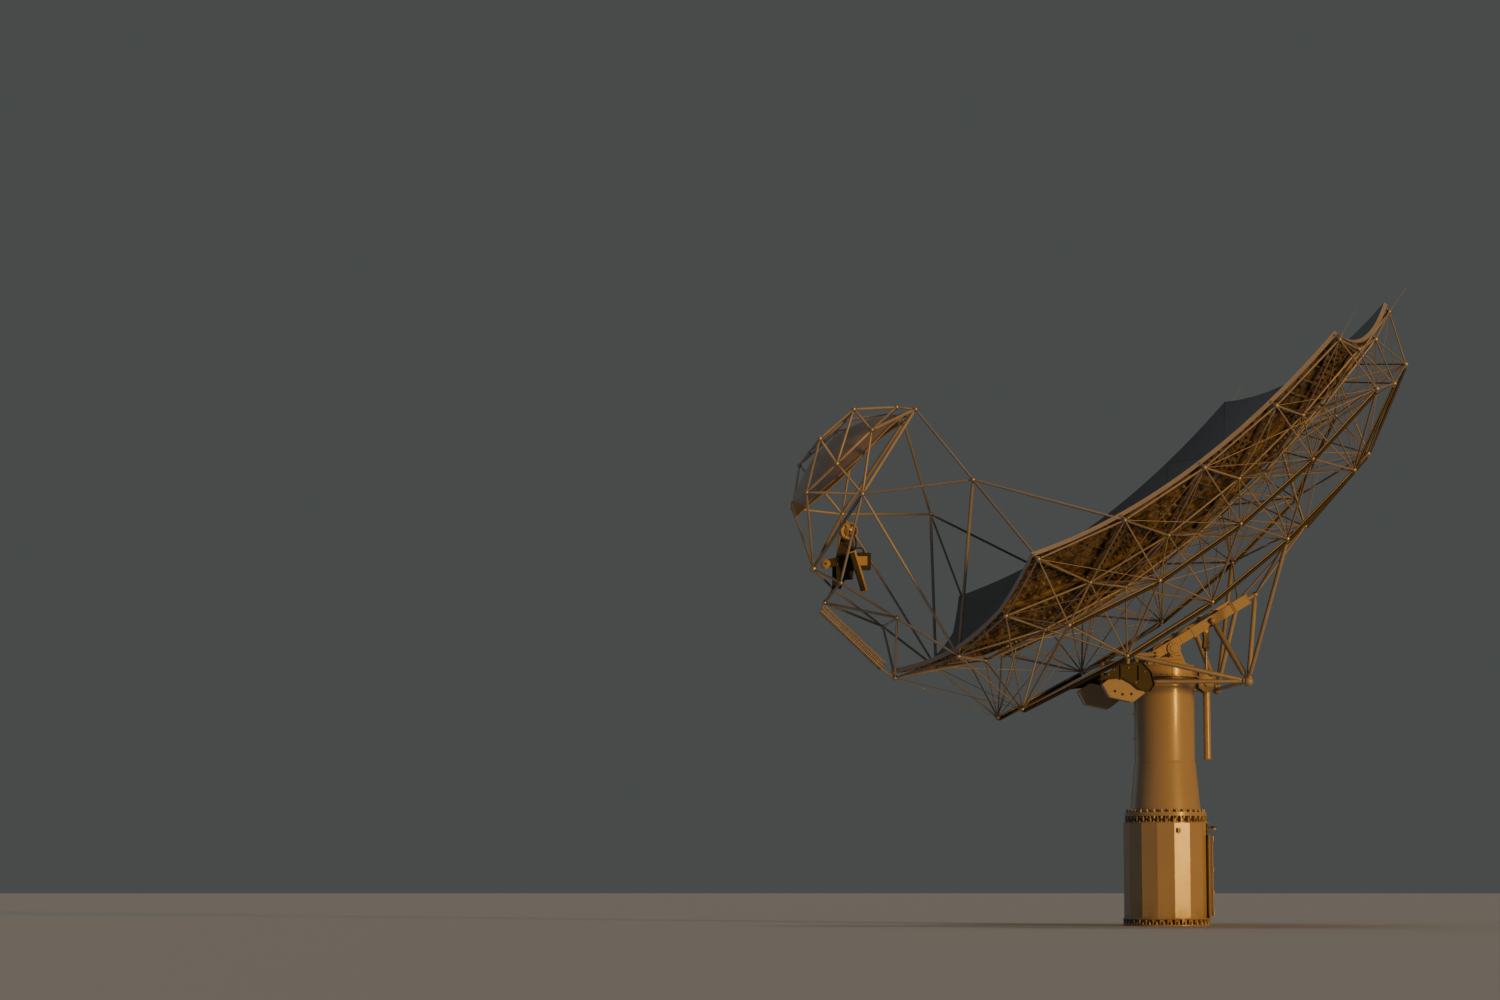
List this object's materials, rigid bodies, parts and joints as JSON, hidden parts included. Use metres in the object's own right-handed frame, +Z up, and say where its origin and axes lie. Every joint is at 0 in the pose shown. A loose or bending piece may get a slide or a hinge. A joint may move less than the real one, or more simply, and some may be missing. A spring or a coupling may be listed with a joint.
{
  "type": "radio telescope dish",
  "caption": "Offset radio telescope dish of triangular panels on a ball-joint space frame, with a subreflector arm, on a round steel pedestal.",
  "frame": {"origin": "centre of the pedestal's foot on the ground", "axes": "+Z up, +X away from the feed arm, +Y across the dish; the plane y = 0 is its plane of symmetry"},
  "size_m": [17.7265, 14.131, 18.1197],
  "materials": {
    "cream_paint": "semi-gloss",
    "white_tube": "satin",
    "reflector_metal": "satin",
    "dark_steel": "satin",
    "receiver_paint": "satin"
  },
  "bodies": {
    "dish": {"access_tray": "white_tube", "ballast_box_far": "cream_paint", "ballast_box_near": "cream_paint", "ballast_carrier_far": "dark_steel", "ballast_carrier_near": "dark_steel", "elevation_frame_far": "white_tube", "elevation_frame_near": "white_tube", "front_frame_far": "white_tube", "front_frame_middle": "white_tube", "front_frame_near": "white_tube", "girder_cross_beam": "cream_paint", "girder_far": "cream_paint", "girder_near": "cream_paint", "indexer_support": "dark_steel", "lower_arm": "white_tube", "outer_struts_far": "white_tube", "outer_struts_near": "white_tube", "panel_strip_far_inner": "reflector_metal", "panel_strip_far_middle": "reflector_metal", "panel_strip_far_outer": "reflector_metal", "panel_strip_near_inner": "reflector_metal", "panel_strip_near_middle": "reflector_metal", "panel_strip_near_outer": "reflector_metal", "rear_frame_far": "white_tube", "rear_frame_middle": "white_tube", "rear_frame_near": "white_tube", "receiver_struts_far": "white_tube", "receiver_struts_near": "white_tube", "subreflector": "reflector_metal", "subreflector_cross_frame": "white_tube", "subreflector_frame_far": "white_tube", "subreflector_frame_near": "white_tube", "subreflector_top_tie": "white_tube"},
    "pedestal": {"azimuth_bearing": "dark_steel", "base_flange": "cream_paint", "junction_box": "cream_paint", "pedestal_column": "cream_paint", "pedestal_flange": "cream_paint", "pedestal_wall_back": "cream_paint", "pedestal_wall_door_side": "cream_paint"},
    "turnhead": {"elevation_bearing_far": "cream_paint", "elevation_bearing_near": "cream_paint", "screw_bracket": "cream_paint", "turnhead_drum": "cream_paint"},
    "screw": {"elevation_screw": "dark_steel", "screw_fork_far": "dark_steel", "screw_fork_near": "dark_steel"},
    "indexer": {"indexer_turntable": "dark_steel", "receiver_box": "receiver_paint", "receiver_drum": "receiver_paint", "receiver_horn": "receiver_paint", "receiver_small": "receiver_paint"},
    "door": {"pedestal_door": "cream_paint"},
    "screw_drive": {"screw_cover_tube": "cream_paint", "screw_drive": "dark_steel"}
  },
  "joints": [
    {"name": "azimuth_turn", "type": "hinge", "parent": "pedestal", "child": "turnhead", "pos_m": [0, 0, 6.9], "axis": [0, 0, 1], "range_deg": [-270, 270]},
    {"name": "elevation_tilt", "type": "hinge", "parent": "turnhead", "child": "dish", "pos_m": [0.05, 0, 7.65], "axis": [0, -1, 0], "range_deg": [-4, 55]},
    {"name": "screw_pivot", "type": "hinge", "parent": "turnhead", "child": "screw_drive", "pos_m": [1.21, 0, 6.75], "axis": [0, -1, 0], "range_deg": [-1.75, 23.6]},
    {"name": "screw_travel", "type": "slide", "parent": "screw_drive", "child": "screw", "axis": [0, 0, 1], "range_m": [-0.067, 0.915]},
    {"name": "indexer_turn", "type": "hinge", "parent": "dish", "child": "indexer", "pos_m": [-8.98, 0.105, 10.11], "axis": [0, 1, 0], "range_deg": [-25, 25]},
    {"name": "door_swing", "type": "hinge", "parent": "pedestal", "child": "door", "pos_m": [1.1833, -0.7146, 1.366], "axis": [0, 0, -1], "range_deg": [0, 110]}
  ],
  "couplings": [
    {"joint": "screw_pivot", "follows": "elevation_tilt", "ratio": 0.427},
    {"joint": "screw_travel", "follows": "elevation_tilt", "m_per_rad": 0.95}
  ]
}
